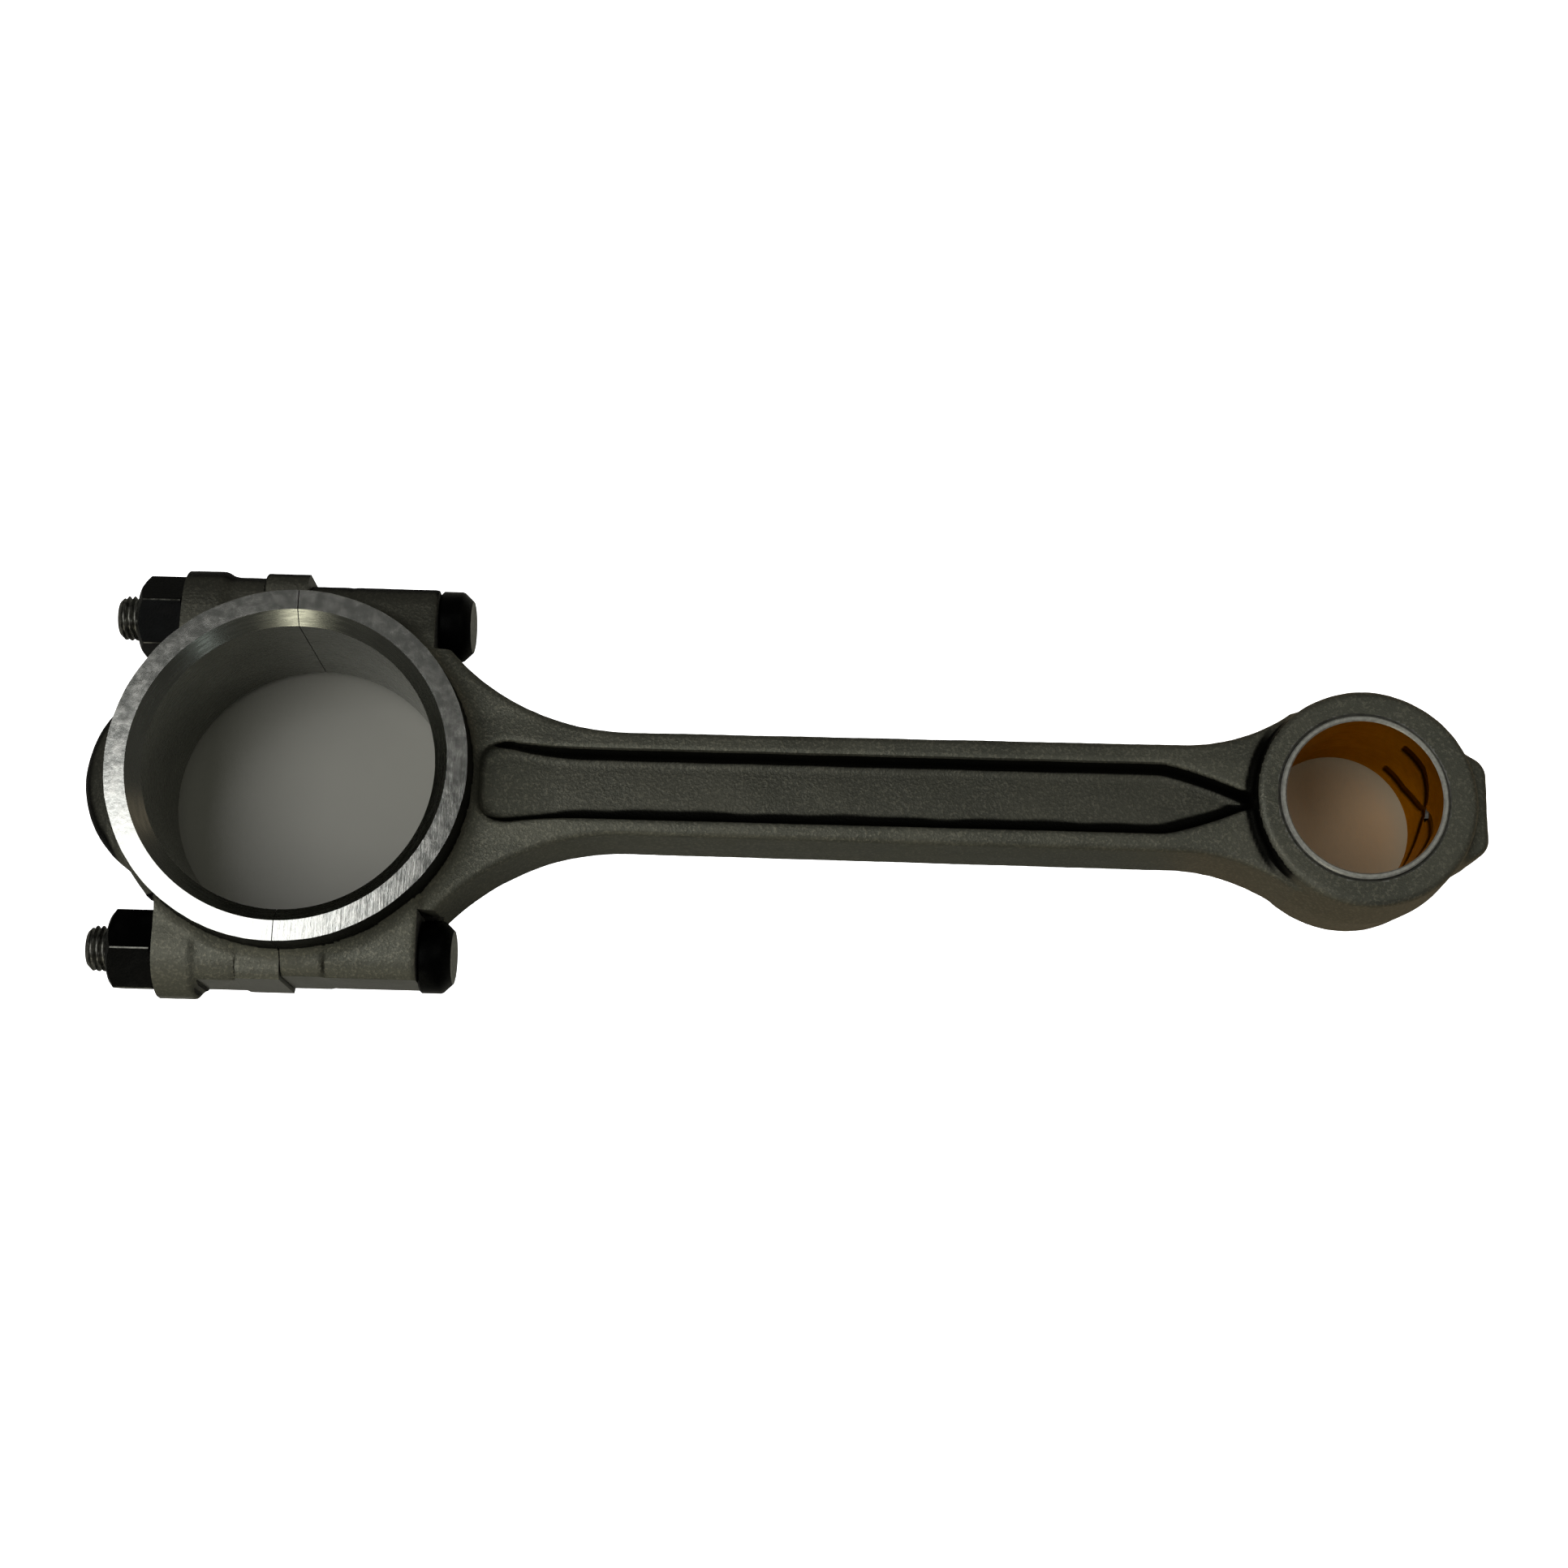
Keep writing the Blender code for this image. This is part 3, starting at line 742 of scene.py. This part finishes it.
def bush():
    """A steel-backed bush: a thin shell with chamfered mouths, lined and grooved inside, with an oil hole."""
    edge = 0.3
    steps = 480
    turn = np.linspace(0, math.tau, steps, endpoint=False)
    inner_end = BUSH_HALF - edge
    rows = [(PIN_BORE_R, z, groove(turn, z)) for z in np.linspace(-inner_end, inner_end, 150)]
    rows += [(PIN_BORE_R + edge, BUSH_HALF, 0), (BUSH_R - edge, BUSH_HALF, 0), (BUSH_R, inner_end, 0)]
    rows += [(BUSH_R, -inner_end, 0), (BUSH_R - edge, -BUSH_HALF, 0), (PIN_BORE_R + edge, -BUSH_HALF, 0)]
    rings = []
    for radius, z, depth in rows:
        r = np.broadcast_to(radius + depth, turn.shape)
        rings.append(np.stack([r * np.cos(turn), r * np.sin(turn), np.full(steps, z)], axis=-1))
    made = add_object("pin_bush", looped_from_rings("pin_bush", rings))
    cut(made, [pin(OIL_HOLE_R, 8, 30, steps=32)])
    made.data.transform(Matrix.Translation((CENTRES, 0, 0)))
    return made


# ---------------------------------------------------------------- materials


class Nodes:
    """A short way to write a material's nodes."""

    def __init__(self, name):
        self.made = bpy.data.materials.new(name)
        self.made.use_nodes = True
        self.tree = self.made.node_tree
        self.shader = self.tree.nodes["Principled BSDF"]
        self.place = self.node("ShaderNodeTexCoord").outputs["Object"]

    def node(self, kind, **settings):
        made = self.tree.nodes.new(kind)
        for key, value in settings.items():
            setattr(made, key, value)
        return made

    def link(self, source, target):
        self.tree.links.new(source, target)

    def feed(self, socket, value):
        if isinstance(value, bpy.types.NodeSocket):
            self.link(value, socket)
        else:
            socket.default_value = value

    def noise(self, scale, detail=4, roughness=0.6, vector=None, distortion=0):
        made = self.node("ShaderNodeTexNoise")
        self.feed(made.inputs["Vector"], vector or self.place)
        made.inputs["Scale"].default_value = scale
        made.inputs["Detail"].default_value = detail
        made.inputs["Roughness"].default_value = roughness
        made.inputs["Distortion"].default_value = distortion
        return made.outputs["Fac"]

    def math(self, operation, a, b=0.0, clamp=False):
        made = self.node("ShaderNodeMath", operation=operation, use_clamp=clamp)
        self.feed(made.inputs[0], a)
        self.feed(made.inputs[1], b)
        return made.outputs[0]

    def ramp(self, value, low, high, to_low=0.0, to_high=1.0):
        made = self.node("ShaderNodeMapRange", interpolation_type="SMOOTHSTEP")
        self.feed(made.inputs["Value"], value)
        for key, number in (("From Min", low), ("From Max", high), ("To Min", to_low), ("To Max", to_high)):
            made.inputs[key].default_value = number
        return made.outputs["Result"]

    def mix(self, share, a, b):
        made = self.node("ShaderNodeMix", data_type="RGBA")
        self.feed(made.inputs["Factor"], share)
        for socket, value in ((made.inputs[6], a), (made.inputs[7], b)):
            self.feed(socket, value if isinstance(value, bpy.types.NodeSocket) else (*value, 1))
        return made.outputs[2]

    def bump(self, height, distance, strength=1.0, after=None):
        made = self.node("ShaderNodeBump")
        made.inputs["Strength"].default_value = strength
        made.inputs["Distance"].default_value = distance
        self.link(height, made.inputs["Height"])
        if after:
            self.link(after, made.inputs["Normal"])
        return made.outputs["Normal"]

    def set(self, **values):
        for key, value in values.items():
            socket = self.shader.inputs[key.replace("_", " ")]
            if isinstance(value, tuple):
                socket.default_value = (*value, 1)
            else:
                self.feed(socket, value)


def forged_steel():
    n = Nodes("forged_steel")
    painted_shade = n.node("ShaderNodeAttribute", attribute_name="painted_shade").outputs["Fac"]
    normal = n.node("ShaderNodeNewGeometry").outputs["Normal"]
    split = n.node("ShaderNodeSeparateXYZ")
    n.link(normal, split.inputs[0])
    up = n.math("ABSOLUTE", split.outputs["Z"])
    flat = n.ramp(up, 0.25, 0.8)
    grain = n.noise(2600, 3, 0.7)
    blast = n.noise(1500, 2, 0.6)
    patch = n.noise(60, 4, 0.55)
    colour = n.mix(n.ramp(patch, 0.35, 0.65), (0.125, 0.127, 0.102), (0.155, 0.155, 0.122))
    colour = n.mix(n.math("MULTIPLY", n.ramp(blast, 0.5, 0.66), 0.55), colour, (0.28, 0.27, 0.21))
    # Painted shade from the point attribute, stronger on steep walls: first darker, then near black.
    steep = n.ramp(up, 0.9, 0.3)
    dark = n.math("MULTIPLY", painted_shade, n.math("ADD", steep, 0.6))
    colour = n.mix(n.ramp(dark, 0.05, 0.3, 0, 0.35), colour, (0.05, 0.048, 0.038))
    colour = n.mix(n.ramp(dark, 0.28, 0.58), colour, (0.003, 0.003, 0.002))
    height = n.math("ADD", n.math("MULTIPLY", grain, 0.5), blast)
    height = n.math("MULTIPLY", height, n.ramp(flat, 0, 1, 0.15, 1))
    normal = n.bump(height, 0.00013)
    n.set(Base_Color=colour, Metallic=0.8, Roughness=n.ramp(patch, 0.3, 0.7, 0.45, 0.55), Normal=normal)
    n.shader.inputs["Specular IOR Level"].default_value = 0.2
    return n.made


def faced_steel():
    """The machined thrust faces, with fine scratches and chatter."""
    n = Nodes("faced_steel")
    scratch = n.node("ShaderNodeMapping")
    n.link(n.place, scratch.inputs["Vector"])
    scratch.inputs["Scale"].default_value = (1, 0.12, 1)
    scratch.inputs["Rotation"].default_value = (0, 0, 0.5)
    lines = n.noise(1800, 3, 0.6, scratch.outputs["Vector"])
    marks = n.noise(420, 3, 0.6)
    height = n.math("ADD", lines, n.math("MULTIPLY", marks, 1.5))
    normal = n.bump(height, 0.000012)
    colour = n.mix(n.ramp(marks, 0.35, 0.7), (0.52, 0.53, 0.5), (0.66, 0.66, 0.62))
    n.set(Base_Color=colour, Metallic=1.0, Roughness=n.ramp(marks, 0.3, 0.7, 0.12, 0.17), Normal=normal)
    return n.made


def bored_steel():
    """The honed bore and its chamfers."""
    n = Nodes("bored_steel")
    stretch = n.node("ShaderNodeMapping")
    n.link(n.place, stretch.inputs["Vector"])
    stretch.inputs["Scale"].default_value = (0.2, 0.2, 3)
    lines = n.noise(900, 3, 0.6, stretch.outputs["Vector"])
    stain = n.noise(45, 4, 0.6)
    normal = n.bump(lines, 0.000015)
    colour = n.mix(n.ramp(stain, 0.35, 0.65), (0.19, 0.195, 0.165), (0.25, 0.255, 0.22))
    n.set(Base_Color=colour, Metallic=1.0, Roughness=n.ramp(lines, 0.3, 0.7, 0.22, 0.3), Normal=normal)
    return n.made


def milled_steel():
    n = Nodes("milled_steel")
    stretch = n.node("ShaderNodeMapping")
    n.link(n.place, stretch.inputs["Vector"])
    stretch.inputs["Scale"].default_value = (0.3, 1, 3)
    lines = n.noise(900, 3, 0.6, stretch.outputs["Vector"])
    normal = n.bump(lines, 0.00004)
    colour = n.mix(n.ramp(lines, 0.35, 0.65), (0.22, 0.22, 0.2), (0.3, 0.3, 0.27))
    n.set(Base_Color=colour, Metallic=0.9, Roughness=n.ramp(lines, 0.3, 0.7, 0.38, 0.5), Normal=normal)
    return n.made


def black_oxide():
    n = Nodes("black_oxide")
    patch = n.noise(260, 4, 0.6)
    fine = n.noise(2200, 2, 0.6)
    colour = n.mix(n.ramp(patch, 0.45, 0.8), (0.0015, 0.0017, 0.0016), (0.006, 0.006, 0.0055))
    normal = n.bump(fine, 0.00003)
    n.set(Base_Color=colour, Metallic=0.7, Roughness=n.ramp(patch, 0.3, 0.7, 0.3, 0.42), Normal=normal)
    n.shader.inputs["Specular IOR Level"].default_value = 0.1
    return n.made


def worn_thread():
    n = Nodes("worn_thread")
    patch = n.noise(700, 4, 0.6)
    colour = n.mix(n.ramp(patch, 0.35, 0.7), (0.08, 0.08, 0.07), (0.24, 0.24, 0.21))
    normal = n.bump(patch, 0.00004)
    n.set(Base_Color=colour, Metallic=0.9, Roughness=n.ramp(patch, 0.3, 0.7, 0.3, 0.45), Normal=normal)
    return n.made


def bush_steel():
    """The bush's steel back, seen at its rims."""
    n = Nodes("bush_steel")
    lines = n.noise(1200, 3, 0.6)
    colour = n.mix(n.ramp(lines, 0.35, 0.65), (0.42, 0.42, 0.38), (0.56, 0.56, 0.51))
    normal = n.bump(lines, 0.00003)
    n.set(Base_Color=colour, Metallic=0.7, Roughness=n.ramp(lines, 0.3, 0.7, 0.4, 0.52), Normal=normal)
    return n.made


def bronze():
    n = Nodes("bush_bronze")
    stretch = n.node("ShaderNodeMapping")
    n.link(n.place, stretch.inputs["Vector"])
    stretch.inputs["Scale"].default_value = (0.3, 0.3, 2.5)
    lines = n.noise(700, 3, 0.6, stretch.outputs["Vector"])
    patch = n.noise(80, 4, 0.6)
    colour = n.mix(n.ramp(patch, 0.3, 0.7), (0.4, 0.185, 0.012), (0.52, 0.26, 0.022))
    spot = n.node("ShaderNodeSeparateXYZ")
    n.link(n.place, spot.inputs[0])
    across = [n.math("SUBTRACT", spot.outputs["X"], SMALL_END_X), spot.outputs["Y"]]
    radius = n.math("SQRT", n.math("ADD", *[n.math("MULTIPLY", a, a) for a in across]))
    cut_in = n.ramp(radius, 0.001 * PIN_BORE_R + 0.00005, 0.001 * PIN_BORE_R + 0.0003)
    colour = n.mix(cut_in, colour, (0.035, 0.014, 0.003))
    normal = n.bump(lines, 0.00003)
    n.set(Base_Color=colour, Metallic=1.0, Roughness=n.ramp(lines, 0.3, 0.7, 0.32, 0.44), Normal=normal)
    n.shader.inputs["Specular Tint"].default_value = (0.9, 0.6, 0.2, 1)
    return n.made


def table_top():
    """The pale grey table that the rod lies on, with warm painted light under the bush, standing in for the
    light its bronze throws on the table.
    """
    n = Nodes("table_top")
    patch = n.noise(14, 3, 0.5)
    colour = n.mix(n.ramp(patch, 0.3, 0.7), (0.41, 0.405, 0.36), (0.47, 0.465, 0.41))
    along = n.node("ShaderNodeSeparateXYZ")
    n.link(n.place, along.inputs[0])
    # Painted light: the warm tint towards the small end stands in for light thrown by the bronze.
    near_bush = n.ramp(along.outputs["X"], SMALL_END_X - 0.04, SMALL_END_X - 0.03)
    colour = n.mix(near_bush, colour, (0.72, 0.58, 0.4))
    n.set(Base_Color=colour, Roughness=0.35)
    return n.made


def white_paper():
    """The white surround: bright enough to be plain white, and thin enough to show a trace of a shadow."""
    made = bpy.data.materials.new("white_paper")
    made.use_nodes = True
    nodes, links = made.node_tree.nodes, made.node_tree.links
    nodes.remove(nodes["Principled BSDF"])
    glow = nodes.new("ShaderNodeEmission")
    glow.inputs["Strength"].default_value = 0.9
    clear = nodes.new("ShaderNodeBsdfTransparent")
    both = nodes.new("ShaderNodeAddShader")
    links.new(glow.outputs[0], both.inputs[0])
    links.new(clear.outputs[0], both.inputs[1])
    links.new(both.outputs[0], nodes["Material Output"].inputs["Surface"])
    return made


# ---------------------------------------------------------------- assembly


def dress(target, body, replaced, sharp=32):
    finish_shape(target, sharp)
    place(target)
    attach(target, body)
    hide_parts(replaced)


def paint(target, materials, choose):
    """Gives each face the material whose number the chooser returns."""
    target.data.materials.clear()
    for made in materials:
        target.data.materials.append(made)
    index = choose(*face_arrays(target.data))
    target.data.polygons.foreach_set("material_index", index.astype(np.int32))


def bolt_materials(middle, normal):
    """Oxide, then the worn thread, then the bare end of the head, whose bevel stays black."""
    end_face = middle[:, 0] > HEAD_SEAT + HEAD_HEIGHT - 0.35
    return np.where(end_face, 2, middle[:, 0] < -WAIST_START)


def nut_materials(middle, normal):
    """Oxide, worn through at the corners."""
    from_axis = np.hypot(np.abs(middle[:, 1]) - BOLT_Y, middle[:, 2])
    return (from_axis > NUT_CORNER_R - 0.14) & (np.abs(normal[:, 0]) < 0.3)


def bush_materials(middle, normal):
    """Steel, with bronze on the inside."""
    inside = np.hypot(middle[:, 0] - CENTRES, middle[:, 1]) < PIN_BORE_R + LINING
    return inside & (np.abs(middle[:, 2]) < BUSH_HALF - 0.3)


def build_object():
    metals = [forged_steel(), faced_steel(), bored_steel(), milled_steel()]
    rod = rod_forging()
    paint_forging(rod, rod_field, metals)
    dress(rod, "rod", "rod_body")
    cap = cap_forging()
    paint_forging(cap, cap_field, metals)
    dress(cap, "cap", "bearing_cap")
    black, thread, bare = black_oxide(), worn_thread(), bush_steel()
    for name, side, turn_by in (("left", 1, NUT_LEFT_TURN), ("right", -1, NUT_RIGHT_TURN)):
        bolt = rod_bolt(side)
        paint(bolt, (black, thread, bare), bolt_materials)
        dress(bolt, "bolt_" + name, "rod_bolt_" + name)
        made = nut(side, turn_by)
        paint(made, (black, thread), nut_materials)
        dress(made, "nut_" + name, "cap_nut_" + name, 24)
    lined = bush()
    paint(lined, (bare, bronze()), bush_materials)
    dress(lined, "rod", "small_end_bush")


# ---------------------------------------------------------------- studio


def area_light(name, location, target, size, power, colour=(1, 1, 1), size_y=None):
    data = bpy.data.lights.new(name, "AREA")
    data.energy = power
    data.color = colour
    data.size = size
    if size_y:
        data.shape = "RECTANGLE"
        data.size_y = size_y
    made = add_object(name, data)
    made.location = location
    made.rotation_euler = (Vector(target) - Vector(location)).to_track_quat("-Z", "Y").to_euler()
    return made


def add_floor():
    """The table, and the white surround that lies on it with an opening under each bore."""
    bm = bmesh.new()
    bmesh.ops.create_grid(bm, x_segments=8, y_segments=8, size=4)
    mesh = bpy.data.meshes.new("table")
    bm.to_mesh(mesh)
    bm.free()
    table = add_object("table", mesh)
    table.data.materials.append(table_top())
    table.location.z = -0.0004

    bm = block((-4000, -4000, -RING_FACE - 0.2), (4000, 4000, -RING_FACE - 0.1))
    mesh = bpy.data.meshes.new("surround")
    bm.to_mesh(mesh)
    bm.free()
    surround = add_object("surround", mesh)
    cut(surround, [turned([(0, -30), (BIG_BORE_R + 2, -30), (BIG_BORE_R + 2, 0), (0, 0)]),
                   moved(turned([(0, -30), (PIN_BORE_R + 3, -30), (PIN_BORE_R + 3, 0), (0, 0)]), CENTRES)])
    place(surround)
    surround.data.materials.clear()
    surround.data.materials.append(white_paper())
    surround.visible_diffuse = False
    surround.visible_glossy = False
    surround.visible_shadow = False
    surround.visible_transmission = False


def studio():
    scene = bpy.context.scene
    scene.view_settings.view_transform = "Standard"
    add_floor()
    world = bpy.data.worlds.new("room")
    scene.world = world
    world.use_nodes = True
    world.node_tree.nodes["Background"].inputs["Color"].default_value = (1, 0.99, 0.94, 1)
    world.node_tree.nodes["Background"].inputs["Strength"].default_value = 0.1
    height = 1.3
    right, far = -0.17 * height, 0.235 * height
    wide, deep = 0.95, 1.12
    middle = BIG_END + Vector((right - wide / 2, far - deep / 2, height))
    area_light("window", middle, middle - Vector((0, 0, 1)), wide, 2.5 * math.pi * wide * deep, size_y=deep)
    for name, direction, size, radiance, colour in (
        ("low_sun", (-0.2, -0.93, 0.31), 0.3, 6.2, (1, 0.96, 0.82)),
        ("low_sky", (0.55, -0.75, 0.38), 0.15, 3.0, (0.85, 0.95, 1)),
        ("wall_glow", (0.76, 0.63, 0.15), 0.4, 0.3, (1, 0.8, 0.6)),
        ("fill", (0.55, 0.1, 0.8), 0.9, 0.42, (0.98, 1, 0.9)),
    ):
        place_at = BIG_END + 1.5 * Vector(direction)
        area_light(name, place_at, BIG_END, size, radiance * math.pi * size * size, colour)


def camera():
    """The photograph's viewpoint: from over the middle of the shank, leaning to the near side."""
    data = bpy.data.cameras.new("camera")
    data.sensor_width = 36
    data.lens = 55.33
    data.clip_start = 0.01
    made = add_object("camera", data)
    made.location = BIG_END + Vector((0.10308, -0.12879, 0.51046))
    axis = Vector((-0.253, -0.007, 0.026))
    turn = Matrix.Rotation(axis.length, 3, axis.normalized()) @ Matrix.Diagonal((1, -1, -1))
    made.rotation_euler = (turn.transposed() @ Matrix.Diagonal((1, -1, -1))).to_euler()
    bpy.context.scene.camera = made


build_object()
camera()
studio()
